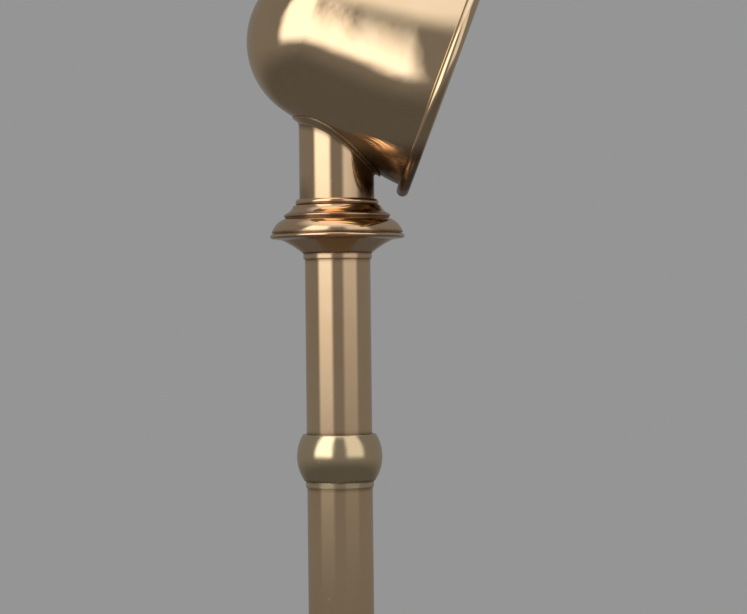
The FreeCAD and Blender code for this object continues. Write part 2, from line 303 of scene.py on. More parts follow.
@dataclass(frozen=True)
class Brass:
    """Polished brass with cloudy patina, wiping marks, tool lines, tarnished joints and, where a piece carries it,
    painted shade.

    Attributes:
        name: The material's name.
        bright: Colour where the polish is clean.
        deep: Colour where the metal has warmed.
        lines: Which way the tool lines run.
        roughness: Roughness of the clean polish.
        wave: Height of the slow waves in the surface, in millimetres.
        wave_per_metre: How many waves fit in a metre.
        dents: Height of the beaten dents left in the sheet, in millimetres.
        line_height: Height of the tool lines, in millimetres.
        patina: How much of the warmed colour shows, 0 to 1.
    """

    name: str
    bright: Colour = (0.91, 0.68, 0.43)
    deep: Colour = (0.82, 0.55, 0.31)
    lines: Lines = Lines.ROUND_PIPE
    roughness: float = 0.025
    wave: float = 0.03
    wave_per_metre: float = 30.0
    dents: float = 0.0
    line_height: float = 0.002
    patina: float = 0.5

    def material(self) -> bpy.types.Material:
        """Make the material.

        Returns:
            The node material.
        """
        made = bpy.data.materials.new(self.name)
        made.use_nodes = True
        shader = Shader(made.node_tree)
        place = shader.place()
        # The grime attribute holds tarnished joints and bores, and painted shade in the corner under the cowl's rim.
        grime = Value(shader, shader.node("ShaderNodeAttribute", {"attribute_name": GRIME_AND_SHADE}, {}).outputs["Fac"])
        cloud = shader.noise(place, 14.0, 3.0, 0.55)
        mottle = shader.noise(place, 85.0, 4.0, 0.62)
        wiped = shader.noise(shader.stretched(place, (1.0, 1.6, 0.35)), 60.0, 5.0, 0.6).smooth(0.5, 0.72)
        scratch = shader.noise(self._slanted(shader, place), 90.0, 1.0).smooth(0.69, 0.74)
        tool = shader.noise(self._line_space(shader, place), 1.0, 2.0, 0.6)
        tarnish_and_shade = (grime * (mottle * 0.9 + 0.55)).clamped()
        warmth = (cloud.smooth(0.3, 0.7) * 0.65 + mottle * 0.35) * self.patina
        clean = shader.mix(warmth, self.bright, self.deep)
        marked = shader.mix(wiped * 0.10 + scratch * 0.12, clean, (0.95, 0.86, 0.72))
        # Near-black brown for tarnishing and painted shade alike.
        colour = shader.mix(tarnish_and_shade * 0.9, marked, (0.11, 0.06, 0.035))
        roughness = (self.roughness + wiped * 0.035 + mottle * 0.015 + scratch * 0.10
                     + tool * 0.012 + tarnish_and_shade * 0.3)
        height = (shader.noise(place, self.wave_per_metre, 1.0) * (self.wave * MM)
                  + shader.noise(place, 62.0, 2.0, 0.45) * cloud.smooth(0.42, 0.62) * (self.dents * MM)
                  + tool * (self.line_height * MM))
        bump = shader.node("ShaderNodeBump", {}, {"Height": height, "Distance": 1.0, "Strength": 1.0})
        surface = shader.node("ShaderNodeBsdfPrincipled", {}, {
            "Base Color": colour,
            "Metallic": 1.0,
            "Roughness": roughness,
            "Normal": bump.outputs[0],
        })
        shader.node("ShaderNodeOutputMaterial", {}, {"Surface": surface.outputs[0]})
        return made

    @staticmethod
    def _slanted(shader: Shader, place: bpy.types.NodeSocket) -> bpy.types.NodeSocket:
        """Space for the fine wiping scratches: slanted and long in one direction."""
        turned = shader.node("ShaderNodeVectorRotate", {"rotation_type": "EULER_XYZ"},
                             {"Vector": place, "Rotation": (0.5, 0.9, 0.3)})
        return shader.stretched(turned.outputs[0], (0.18, 5.0, 5.0))

    def _line_space(self, shader: Shader, place: bpy.types.NodeSocket) -> bpy.types.NodeSocket:
        """Space in which noise turns into lines that run the way of the tool.

        Args:
            shader: The tree to add nodes to.
            place: The point on the piece.

        Returns:
            The vector to read noise at.
        """
        x, y, z = shader.parts(place)
        if self.lines is Lines.ALONG_PIPE:
            return shader.stretched(place, (900.0, 900.0, 9.0))
        if self.lines is Lines.ROUND_COWL:
            centre = tuple(c * MM for c in (-4.5, 0.0, 445.9))
            offset = shader.vector_math("SUBTRACT", place, centre).outputs[0]
            along = Value(shader, shader.vector_math("DOT_PRODUCT", offset, tuple(COWL_AXIS)).outputs["Value"])
            return shader.joined(along * 700.0, 0.0, 0.0)
        if self.lines is Lines.ROUND_SCREW:
            return shader.joined(y * 2500.0, 0.0, 0.0)
        radius = (x * x + y * y).math("SQRT")
        return shader.joined(radius * 900.0, 0.0, z * 900.0)


@dataclass(frozen=True)
class Dull:
    """A rubber, felt or dull metal finish.

    Attributes:
        name: The material's name.
        light: Its lighter colour.
        dark: Its darker colour.
        roughness: Its roughness.
        metallic: 1 for a metal, 0 otherwise.
        grain_per_metre: How many grains fit in a metre.
        grain: Height of the grain, in millimetres.
    """

    name: str
    light: Colour
    dark: Colour
    roughness: float
    metallic: float = 0.0
    grain_per_metre: float = 900.0
    grain: float = 0.05

    def material(self) -> bpy.types.Material:
        """Make the material.

        Returns:
            The node material.
        """
        made = bpy.data.materials.new(self.name)
        made.use_nodes = True
        shader = Shader(made.node_tree)
        place = shader.place()
        grain = shader.noise(place, self.grain_per_metre, 4.0, 0.6)
        patch = shader.noise(place, self.grain_per_metre / 12.0, 3.0, 0.55)
        worn = (grain * 0.5 + patch * 0.5).smooth(0.35, 0.65)
        colour = shader.mix(worn, self.dark, self.light)
        bump = shader.node("ShaderNodeBump", {}, {
            "Height": grain * (self.grain * MM), "Distance": 1.0, "Strength": 1.0})
        surface = shader.node("ShaderNodeBsdfPrincipled", {}, {
            "Base Color": colour,
            "Metallic": self.metallic,
            "Roughness": (patch * 0.2 + (self.roughness - 0.1)).clamped(),
            "Normal": bump.outputs[0],
        })
        shader.node("ShaderNodeOutputMaterial", {}, {"Surface": surface.outputs[0]})
        return made


COWL_BRASS = Brass("cowl_polish", lines=Lines.ROUND_COWL, roughness=0.02, wave=0.30, wave_per_metre=24.0,
                   dents=0.20, line_height=0.003, patina=0.45)
TUBE_BRASS = Brass("tube_polish", bright=(0.91, 0.67, 0.42), deep=(0.82, 0.53, 0.30),
                   lines=Lines.ALONG_PIPE, roughness=0.015, wave=0.012, wave_per_metre=45.0, patina=0.55)
SADDLE_BRASS = Brass("saddle_polish", roughness=0.08, wave=0.03, wave_per_metre=160.0, patina=0.7)
COLLAR_BRASS = Brass("collar_polish", bright=(0.93, 0.65, 0.40), deep=(0.82, 0.51, 0.28),
                     roughness=0.07, wave=0.015, wave_per_metre=70.0, patina=0.6)
BALL_BRASS = Brass("ball_polish", bright=(0.90, 0.73, 0.47), deep=(0.80, 0.58, 0.33),
                   roughness=0.13, wave=0.12, wave_per_metre=90.0, patina=0.6)
FLANGE_BRASS = Brass("flange_polish", roughness=0.07, wave=0.03, wave_per_metre=40.0)
THUMB_BRASS = Brass("thumb_polish", lines=Lines.ROUND_SCREW, roughness=0.08, wave=0.005)
SCREW_BRASS = Brass("screw_polish", roughness=0.14, wave=0.005, patina=0.8)
WIRE_BRASS = Brass("wire_polish", roughness=0.18, patina=0.9)
BRONZE = Brass("plain_bronze", bright=(0.72, 0.47, 0.26), deep=(0.52, 0.30, 0.15), roughness=0.18, patina=0.8)
GAUZE_BRONZE = Dull("woven_bronze", (0.46, 0.30, 0.16), (0.20, 0.12, 0.07), 0.42, 1.0, 700.0, 0.01)
RUBBER = Dull("black_rubber", (0.045, 0.043, 0.042), (0.018, 0.018, 0.018), 0.62, 0.0, 1500.0, 0.03)
FELT = Dull("grey_felt", (0.46, 0.43, 0.37), (0.27, 0.25, 0.21), 0.95, 0.0, 2600.0, 0.12)


# ---------------------------------------------------------------------------------------------
# Turned outlines
# ---------------------------------------------------------------------------------------------


@dataclass(frozen=True)
class Stretch:
    """A straight or circular stretch of an outline, measured along its length.

    Attributes:
        start: First point, as radius and height.
        end: Last point.
        middle: A point in between on a circular stretch, or None on a straight one.
    """

    start: Point
    end: Point
    middle: Point | None = None

    def _circle(self) -> tuple[Point, float, float, float]:
        """Centre, radius, first angle and signed sweep of a circular stretch."""
        (ax, ay), (bx, by), (cx, cy) = self.start, self.middle, self.end
        d = 2 * (ax * (by - cy) + bx * (cy - ay) + cx * (ay - by))
        ux = ((ax**2 + ay**2) * (by - cy) + (bx**2 + by**2) * (cy - ay) + (cx**2 + cy**2) * (ay - by)) / d
        uy = ((ax**2 + ay**2) * (cx - bx) + (bx**2 + by**2) * (ax - cx) + (cx**2 + cy**2) * (bx - ax)) / d
        first = math.atan2(ay - uy, ax - ux)
        mid = (math.atan2(by - uy, bx - ux) - first) % math.tau
        last = (math.atan2(cy - uy, cx - ux) - first) % math.tau
        sweep = last if mid < last else last - math.tau
        return (ux, uy), math.hypot(ax - ux, ay - uy), first, sweep

    @property
    def length(self) -> float:
        """Length along the stretch."""
        if self.middle is None:
            return math.dist(self.start, self.end)
        _, radius, _, sweep = self._circle()
        return radius * abs(sweep)

    def at(self, travel: float) -> tuple[Point, Point]:
        """A point on the stretch.

        Args:
            travel: Distance from the start.

        Returns:
            The point and the unit direction of travel there.
        """
        if self.middle is None:
            share = travel / self.length
            dx, dy = self.end[0] - self.start[0], self.end[1] - self.start[1]
            point = (self.start[0] + dx * share, self.start[1] + dy * share)
            return point, (dx / self.length, dy / self.length)
        (cx, cy), radius, first, sweep = self._circle()
        way = math.copysign(1.0, sweep)
        angle = first + way * travel / radius
        point = (cx + radius * math.cos(angle), cy + radius * math.sin(angle))
        return point, (-way * math.sin(angle), way * math.cos(angle))


@dataclass
class Outline:
    """A closed outline in radius and height whose corners can be softened and grimed.

    Attributes:
        start: The first corner.
        step: Longest allowed sample, in millimetres.
        reach: How far grime spreads from its corner, in millimetres.
    """

    start: Point
    step: float = 1.0
    reach: float = 1.1
    stretches: list[Stretch] = field(default_factory=list)
    softness: list[float] = field(default_factory=list)
    grime: list[tuple[Point, float]] = field(default_factory=list)

    @property
    def here(self) -> Point:
        """Where the pen is."""
        return self.stretches[-1].end if self.stretches else self.start

    def to(self, radius: float, height: float, soft: float = 0.0, grime: float = 0.0) -> "Outline":
        """Draw a straight stretch.

        Args:
            radius: Radius of its end.
            height: Height of its end.
            soft: How far the corner at its end is rounded.
            grime: How grimy that corner is.

        Returns:
            This outline.
        """
        return self._add(Stretch(self.here, (radius, height)), soft, grime)

    def bow(self, middle: Point, radius: float, height: float, soft: float = 0.0,
            grime: float = 0.0) -> "Outline":
        """Draw a circular stretch through a middle point.

        Args:
            middle: A point that the stretch passes.
            radius: Radius of its end.
            height: Height of its end.
            soft: How far the corner at its end is rounded.
            grime: How grimy that corner is.

        Returns:
            This outline.
        """
        return self._add(Stretch(self.here, (radius, height), middle), soft, grime)

    def _add(self, stretch: Stretch, soft: float, grime: float) -> "Outline":
        """Keep a stretch with its end corner."""
        self.stretches.append(stretch)
        self.softness.append(soft)
        if grime:
            self.grime.append((stretch.end, grime))
        return self

    def samples(self) -> list[tuple[Point, Point, Point]]:
        """Spans of the whole outline in order.

        Returns:
            For each span its first point and the directions of travel at its first and last points.
        """
        spans: list[tuple[Point, Point, Point]] = []
        count = len(self.stretches)
        for index, stretch in enumerate(self.stretches):
            following = self.stretches[(index + 1) % count]
            first = min(self.softness[index - 1], stretch.length * 0.45)
            last = stretch.length - min(self.softness[index], stretch.length * 0.45)
            pieces = max(1, math.ceil((last - first) / self.step))
            stops = [first + (last - first) * n / pieces for n in range(pieces + 1)]
            for low, high in zip(stops, stops[1:]):
                spans.append((stretch.at(low)[0], stretch.at(low)[1], stretch.at(high)[1]))
            if self.softness[index]:
                onward = following.at(min(self.softness[index], following.length * 0.45))
                spans.extend(self._corner(stretch.at(last), stretch.end, onward))
        return spans

    @staticmethod
    def _corner(before: tuple[Point, Point], corner: Point, after: tuple[Point, Point],
                steps: int = 5) -> list[tuple[Point, Point, Point]]:
        """Spans of a softened corner.

        Args:
            before: Point and direction where the softening starts.
            corner: The sharp corner.
            after: Point and direction where it ends.
            steps: Number of spans.

        Returns:
            The spans, as samples gives them.
        """
        (px, py), (qx, qy) = before[0], after[0]

        def point(t: float) -> Point:
            """Point of the curve at t."""
            a, b, c = (1 - t) ** 2, 2 * t * (1 - t), t * t
            return (a * px + b * corner[0] + c * qx, a * py + b * corner[1] + c * qy)

        def way(t: float) -> Point:
            """Direction of the curve at t."""
            dx = (1 - t) * (corner[0] - px) + t * (qx - corner[0])
            dy = (1 - t) * (corner[1] - py) + t * (qy - corner[1])
            size = math.hypot(dx, dy) or 1.0
            return (dx / size, dy / size)

        stops = [n / steps for n in range(steps + 1)]
        return [(point(a), way(a), way(b)) for a, b in zip(stops, stops[1:])]

    def grime_at(self, point: Point) -> float:
        """How grimy a point of the outline is.

        Args:
            point: The point, as radius and height.

        Returns:
            From 0, clean, to 1.
        """
        worst = 0.0
        for corner, amount in self.grime:
            away = math.dist(corner, point) / self.reach
            worst = max(worst, amount * math.exp(-away * away))
        return worst


@dataclass(frozen=True)
class Bore:
    """A round hole in a turned piece.

    Attributes:
        origin: A point on its axis.
        way: Direction from the hole's bottom to its mouth.
        radius: Radius at the mouth.
        wall: Radius and depth of each further ring of its wall.
        settle: Puts a rim point back on the surface after it was moved onto the circle.
        applies: Says whether a point of the piece is on the side that has the mouth.
    """

    origin: Vector
    way: Vector
    radius: float
    wall: tuple[Point, ...]
    settle: Callable[[Vector], Vector] | None = None
    applies: Callable[[Vector], bool] | None = None

    def local(self, point: Vector) -> tuple[Vector, float]:
        """A point's offset from the axis, and its place along it."""
        along = (point - self.origin).dot(self.way)
        return point - self.origin - self.way * along, along


def upright() -> Matrix:
    """The placing of a piece that is turned about the standpipe."""
    return Matrix.Identity(4)


def turned(name: str, outline: Outline, placing: Matrix, segments: int = 224,
           bores: tuple[Bore, ...] = ()) -> bpy.types.Object:
    """Spin an outline into a smooth closed piece with exact normals.

    Args:
        name: The piece's name.
        outline: Its outline, in millimetres.
        placing: From the outline's own axes to the frame's, in millimetres.
        segments: Faces round the axis.
        bores: Round holes cut through its surface.

    Returns:
        The new object.
    """
    spans = outline.samples()
    rings = len(spans)
    points = [span[0] for span in spans]
    area = sum(a[0] * b[1] - b[0] * a[1] for a, b in zip(points, points[1:] + points[:1]))
    side = math.copysign(1.0, area)
    turns = [math.tau * n / segments for n in range(segments)]
    spin = placing.to_3x3()
    verts = [placing @ Vector((r * math.cos(t), r * math.sin(t), h)) for r, h in points for t in turns]
    grime = [outline.grime_at(p) for p in points for _ in turns]

    def normal(way: Point, turn: float) -> Vector:
        """Outward normal for a direction of travel at a turn."""
        out, up = side * way[1], -side * way[0]
        return spin @ Vector((out * math.cos(turn), out * math.sin(turn), up))

    faces: list[tuple[int, ...]] = []
    normals: list[Vector] = []
    gone = _open_bores(verts, bores)
    rims: list[tuple[Bore, int, int]] = []
    for ring in range(rings):
        above = (ring + 1) % rings
        _, way_in, way_out = spans[ring]
        for step in range(segments):
            beside = (step + 1) % segments
            corners = [(ring, step, way_in), (ring, beside, way_in), (above, beside, way_out), (above, step, way_out)]
            if side < 0:
                corners.reverse()
            if points[ring][0] < 1e-6:
                corners = [c for c in corners if c[:2] != (ring, beside)]
            if points[above][0] < 1e-6:
                corners = [c for c in corners if c[:2] != (above, beside)]
            if len(corners) < 3:
                continue
            indices = [c[0] * segments + c[1] for c in corners]
            hole = next((gone[i] for i in indices if i in gone), None)
            if hole is not None:
                rims.extend((hole, a, b) for a, b in zip(indices, indices[1:] + indices[:1]))
                continue
            faces.append(tuple(indices))
            normals.extend(normal(c[2], turns[c[1]]) for c in corners)
    _line_bores(verts, grime, faces, normals, rims, gone)
    return made_mesh(name, verts, faces, normals, grime)


def _open_bores(verts: list[Vector], bores: tuple[Bore, ...]) -> dict[int, Bore]:
    """Find the points that lie inside a bore's mouth.

    Args:
        verts: The piece's points.
        bores: Its bores.

    Returns:
        The bore that each such point falls in.
    """
    gone: dict[int, Bore] = {}
    for bore in bores:
        for index, point in enumerate(verts):
            if bore.applies is not None and not bore.applies(point):
                continue
            off, along = bore.local(point)
            if along > 0 and off.length < bore.radius:
                gone[index] = bore
    return gone


def _line_bores(verts: list[Vector], grime: list[float], faces: list[tuple[int, ...]],
                normals: list[Vector], rims: list[tuple[Bore, int, int]], gone: dict[int, Bore]) -> None:
    """Draw the rim of each bore onto its circle and add the bore's wall.

    Args:
        verts: The piece's points, which are moved and added to.
        grime: Grime of each point, which is added to.
        faces: The piece's faces, which are added to.
        normals: Normal of each face corner, which is added to.
        rims: Edges of the faces that were left out, with their bore.
        gone: Points inside a bore.
    """
    kept = {(a, b) for face in faces for a, b in zip(face, face[1:] + face[:1])}
    moved: set[int] = set()
    rim_faces: list[tuple[Bore, int, int]] = []
    for bore, first, second in rims:
        if (second, first) not in kept or first in gone or second in gone:
            continue
        rim_faces.append((bore, first, second))
        for index in (first, second):
            if index in moved:
                continue
            moved.add(index)
            off, _ = bore.local(verts[index])
            verts[index] = verts[index] + off.normalized() * (bore.radius - off.length)
            if bore.settle is not None:
                verts[index] = bore.settle(verts[index])
            grime[index] = max(grime[index], 0.8)
    below: dict[tuple[int, int], int] = {}

    def ring_point(bore: Bore, index: int, level: int) -> int:
        """Index of a rim point's copy on a ring of the wall."""
        if level == 0:
            return index
        if (index, level) not in below:
            off, along = bore.local(verts[index])
            radius, depth = bore.wall[level - 1]
            below[(index, level)] = len(verts)
            verts.append(bore.origin + off.normalized() * radius + bore.way * (along - depth))
            grime.append(0.6)
        return below[(index, level)]

    for bore, first, second in rim_faces:
        for level in range(len(bore.wall)):
            quad = (
                ring_point(bore, first, level), ring_point(bore, second, level),
                ring_point(bore, second, level + 1), ring_point(bore, first, level + 1),
            )
            a, b, c = (verts[i] for i in quad[:3])
            flat = (b - a).cross(c - b).normalized()
            faces.append(quad)
            normals.extend([flat] * 4)


def made_mesh(name: str, verts: list[Vector], faces: list[tuple[int, ...]],
              normals: list[Vector] | None, grime: list[float] | None = None) -> bpy.types.Object:
    """Turn points and faces in millimetres into an object in metres.

    Args:
        name: The object's name.
        verts: Points in the frame's axes.
        faces: Corner numbers of each face.
        normals: A normal for each face corner, or None to smooth over the whole mesh.
        grime: How grimy each point is, or None for clean.

    Returns:
        The new object, linked to the scene.
    """
    used = sorted({index for face in faces for index in face})
    number = {index: place for place, index in enumerate(used)}
    mesh = bpy.data.meshes.new(name)
    mesh.from_pydata([tuple(verts[i] * MM) for i in used], [], [tuple(number[i] for i in f) for f in faces])
    mesh.polygons.foreach_set("use_smooth", np.ones(len(mesh.polygons), bool))
    layer = mesh.attributes.new(GRIME_AND_SHADE, "FLOAT", "POINT")
    layer.data.foreach_set("value", np.array([grime[i] if grime else 0.0 for i in used], np.float32))
    if normals is not None:
        mesh.normals_split_custom_set([tuple(n) for n in normals])
    mesh.update()
    made = bpy.data.objects.new(name, mesh)
    bpy.context.scene.collection.objects.link(made)
    return made


def tarnish_and_shade_corner(piece: bpy.types.Object, x_from: float, x_full: float, z_from: float, z_full: float,
                   most: float) -> None:
    """Darken a piece towards the corner between neck and rim: painted shade of the cowl's overhang, partly tarnishing
    where no polishing mop reaches.

    Args:
        piece: The object, with its points in the frame's axes.
        x_from: Where the tarnish starts along X, in millimetres.
        x_full: Where it is full along X.
        z_from: Height at which it starts.
        z_full: Height at which it is full, lower down.
        most: How dark the painted shade and tarnishing in the corner are.
    """
    # Painted shade: raises the grime value towards the corner under the cowl's rim.
    for vertex, mark in zip(piece.data.vertices, piece.data.attributes[GRIME_AND_SHADE].data):
        across = min(1.0, max(0.0, (vertex.co.x / MM - x_from) / (x_full - x_from)))
        down = min(1.0, max(0.0, (z_from - vertex.co.z / MM) / (z_from - z_full)))
        mark.value = max(mark.value, most * across * across * (3 - 2 * across) * down * down * (3 - 2 * down))


DRESSED: dict[str, bpy.types.Material] = {}


def finish_piece(piece: bpy.types.Object, node: str, body: str, finish: Brass | Dull) -> None:
    """Let a piece stand for its CAD node and dress it.

    Args:
        piece: The new object.
        node: The CAD node that it replaces.
        body: The body that it rides on.
        finish: Its finish.
    """
    piece.data.materials.clear()
    piece.data.materials.append(dressed(finish))
    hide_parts(node)
    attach(piece, body)
    LOG.info("%s: %d faces stand for %s on %s", piece.name, len(piece.data.polygons), node, body)


def dress_node(node: str, finish: Brass | Dull) -> None:
    """Give a CAD node that stays its finish.

    Args:
        node: The CAD node.
        finish: Its finish.
    """
    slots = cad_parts[node].data.materials
    slots.clear()
    slots.append(dressed(finish))
    LOG.info("%s: kept and dressed in %s", node, finish.name)


def dressed(finish: Brass | Dull) -> bpy.types.Material:
    """The material of a finish, made once."""
    if finish.name not in DRESSED:
        DRESSED[finish.name] = finish.material()
    return DRESSED[finish.name]


# ---------------------------------------------------------------------------------------------
# Sub-assemblies
# ---------------------------------------------------------------------------------------------


@dataclass(frozen=True)
class CowlSection:
    """The cowl's section in its own axes, with the dome's centre at zero and the mouth along +Z.

    Attributes:
        dome_r: Radius of the round back.
        half_angle: Slope of the cone.
        rim_start: Where the cone starts to ease towards the rim.
        rim_arc_r: Radius of that easing.
        rim_end: Slope left at the rim.
        sheet: Thickness of the metal.
        roll_r: Outside radius of the rolled edge.
    """

    dome_r: float = 55.595
    half_angle: float = math.radians(13.4)
    rim_start: float = 54.3
    rim_arc_r: float = 160.0
    rim_end: float = math.radians(3.3)
    sheet: float = 1.5
    roll_r: float = 4.09

    @property
    def rim_start_r(self) -> float:
        """Radius of the cone where the easing starts."""
        return self.dome_r / math.cos(self.half_angle) + self.rim_start * math.tan(self.half_angle)

    @property
    def arc_centre(self) -> Point:
        """Centre of the easing arc."""
        return (self.rim_start_r - self.rim_arc_r * math.cos(self.half_angle),
                self.rim_start + self.rim_arc_r * math.sin(self.half_angle))

    def rim_point(self, offset: float, slope: float) -> Point:
        """A point of the easing arc, moved outwards by offset, where it has a slope."""
        radius = self.rim_arc_r + offset
        return (self.arc_centre[0] + radius * math.cos(slope), self.arc_centre[1] - radius * math.sin(slope))

    def dome_point(self, offset: float, slope: float) -> Point:
        """A point of the dome, moved outwards by offset, where it has a slope."""
        radius = self.dome_r + offset
        return (radius * math.cos(slope), -radius * math.sin(slope))

    def depth_outside(self, radius: float, along: float) -> float:
        """How far a point lies outside the cowl's outer surface.

        Args:
            radius: Distance from the cowl's axis.
            along: Place along that axis.

        Returns:
            The distance, negative inside.
        """
        sine, cosine = math.sin(self.half_angle), math.cos(self.half_angle)
        tangent = self.dome_point(0, self.half_angle)
        travel = (along - tangent[1]) * cosine + (radius - tangent[0]) * sine
        cone_long = math.dist(tangent, (self.rim_start_r, self.rim_start))
        if travel < 0:
            return math.hypot(radius, along) - self.dome_r
        if travel < cone_long:
            return radius * cosine - along * sine - self.dome_r
        return math.dist((radius, along), self.arc_centre) - self.rim_arc_r

    def outline(self) -> Outline:
        """The closed section of the sheet with its rolled edge.

        Returns:
            The outline.
        """
        back, mid_slope = math.radians(50), (self.half_angle + self.rim_end) / 2
        inner_end, outer_end = self.rim_point(-self.sheet, self.rim_end), self.rim_point(0, self.rim_end)
        out, up = math.cos(self.rim_end), math.sin(self.rim_end)
        centre = (inner_end[0] + self.roll_r * out, inner_end[1] - self.roll_r * up)

        def roll(radius: float, travel: float) -> Point:
            """A point of the roll, going from the sheet round the front."""
            turn = math.pi - self.rim_end - math.radians(travel)
            return (centre[0] + radius * math.cos(turn), centre[1] + radius * math.sin(turn))

        inside = self.roll_r - self.sheet
        made = Outline((0.0, -self.dome_r), step=1.4)
        made.bow(self.dome_point(0, back), *self.dome_point(0, self.half_angle))
        made.to(*self.rim_point(0, self.half_angle))
        made.bow(self.rim_point(0, mid_slope), *outer_end, grime=0.9)
        made.step = 0.6
        made.bow(roll(inside, 150), *roll(inside, 300))
        made.to(*roll(self.roll_r, 300), soft=0.3)
        made.bow(roll(self.roll_r, 150), *inner_end)
        made.bow(self.rim_point(-self.sheet, mid_slope), *self.rim_point(-self.sheet, self.half_angle))
        made.to(*self.dome_point(-self.sheet, self.half_angle))
        made.bow(self.dome_point(-self.sheet, back), 0.0, self.sheet - self.dome_r)
        made.to(0.0, -self.dome_r)
        return made


@dataclass
class CowlHead:
    """The head that swivels: cowl, neck, saddle, spigot and insect screen.

    Attributes:
        section: The cowl's section.
        centre: The dome's centre in the frame.
        neck_r: Outside radius of the neck.
        bore_r: Inside radius of the neck.
        saddle_r: Reach of the saddle round the neck.
        gauze_pitch: Spacing of the screen's wires.
        gauze_wire_r: Radius of the screen's wires.
    """

    section: CowlSection = field(default_factory=CowlSection)
    centre: Vector = field(default_factory=lambda: Vector((-4.5, 0.0, 445.9)))
    neck_r: float = 25.4
    bore_r: float = 23.8
    saddle_r: float = 29.6
    gauze_pitch: float = 2.1
    gauze_wire_r: float = 0.28
    body: str = "cowl_head"

    def surface_height(self, x: float, y: float, offset: float) -> float:
        """Height at which a line rising from below meets the cowl.

        Args:
            x: The line's place in X.
            y: The line's place in Y.
            offset: How far outside the cowl's outer surface to stop.

        Returns:
            The height.
        """
        low, high = self.centre.z - 115.0, self.centre.z
        for _ in range(40):
            middle = (low + high) / 2
            away = Vector((x, y, middle)) - self.centre
            along = away.dot(COWL_AXIS)
            radius = math.sqrt(max(0.0, away.length_squared - along * along))
            if self.section.depth_outside(radius, along) > offset:
                low = middle
            else:
                high = middle
        return (low + high) / 2

    def outside_depth(self, point: Vector) -> float:
        """How far a point of the frame lies outside the cowl's outer surface."""
        away = point - self.centre
        along = away.dot(COWL_AXIS)
        return self.section.depth_outside(math.sqrt(max(0.0, away.length_squared - along**2)), along)

    def build(self) -> None:
        """Make every piece of the head."""
        self._shell()
        self._neck()
        self._saddle()
        self._gauze()
        for node, finish in (("edge_wire", WIRE_BRASS), ("swivel_spigot", BRONZE),
                             ("spigot_screws", SCREW_BRASS), ("screen_ring", BRONZE)):
            dress_node(node, finish)

    def _shell(self) -> None:
        """Spin the cowl and open it over the neck."""
        placing = Matrix.Translation(self.centre) @ Matrix.Rotation(math.pi / 2 + COWL_DIP, 4, "Y")
        hole_r = self.bore_r - 0.05

        def bore(offset: float, wall: tuple[Point, ...]) -> Bore:
            """The opening in the outer or inner face of the sheet."""
            return Bore(
                origin=Vector((0.0, 0.0, 500.0)),
                way=Vector((0.0, 0.0, -1.0)),
                radius=hole_r,
                wall=wall,
                settle=lambda p: Vector((p.x, p.y, self.surface_height(p.x, p.y, offset))),
                applies=lambda p: p.z < self.centre.z and abs(self.outside_depth(p) - offset) < 0.4,
            )

        shell = turned("cowl", self.section.outline(), placing, 288,
                       (bore(0.0, ()), bore(-self.section.sheet, ((hole_r, -2.6),))))
        # Painted shade: darkens the cowl's underside on the mouth side towards the neck, where the rim shades it.
        tarnish_and_shade_corner(shell, 4.0, 22.0, 377.0, 364.0, 0.85)
        finish_piece(shell, "cowl_shell", self.body, COWL_BRASS)

    def _neck(self) -> None:
        """Make the neck tube with its top coped to the cowl."""
        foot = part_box("neck_tube")[0].z / MM
        around = 224
        verts: list[Vector] = []
        grime: list[float] = []
        loops: list[tuple[float, Callable[[float, float], float], float]] = []
        rise = [0.0, 0.006, 0.02, 0.25, 0.5, 0.75, 0.9, 0.96, 0.985, 1.0]
        for share in rise:
            loops.append((self.neck_r, lambda low, top, s=share: low + (top - low) * s, share))
        for share in reversed(rise):
            loops.append((self.bore_r, lambda low, top, s=share: low + (top - low) * s, share))
        for radius, level, share in loops:
            for step in range(around):
                turn = math.tau * step / around
                x, y = radius * math.cos(turn), radius * math.sin(turn)
                top = self.surface_height(x, y, 0.02)
                verts.append(Vector((x, y, level(foot, top))))
                near_saddle = math.exp(-(((1 - share) * (top - foot) - 2.4) / 1.3) ** 2)
                near_collar = math.exp(-((share * (top - foot) - 18.4) / 0.9) ** 2)
                grime.append(0.8 * max(near_saddle, near_collar) if radius == self.neck_r else 0.3)
        faces: list[tuple[int, ...]] = []
        normals: list[Vector] = []
        count = len(loops)
        for ring in range(count):
            above = (ring + 1) % count
            for step in range(around):
                beside = (step + 1) % around
                face = (ring * around + step, ring * around + beside,
                        above * around + beside, above * around + step)
                faces.append(face)
                if loops[ring][0] == loops[above][0]:
                    way = 1.0 if loops[ring][0] == self.neck_r else -1.0
                    for corner in (step, beside, beside, step):
                        turn = math.tau * corner / around
                        normals.append(Vector((way * math.cos(turn), way * math.sin(turn), 0.0)))
                else:
                    a, b, c = (verts[i] for i in face[:3])
                    normals.extend([(b - a).cross(c - b).normalized()] * 4)
        neck = made_mesh("neck", verts, faces, normals, grime)
        # Painted shade: darkens the top of the neck on the mouth side, under the cowl's rim.
        tarnish_and_shade_corner(neck, 6.0, 21.0, 376.0, 366.0, 0.75)
        finish_piece(neck, "neck_tube", self.body, TUBE_BRASS)

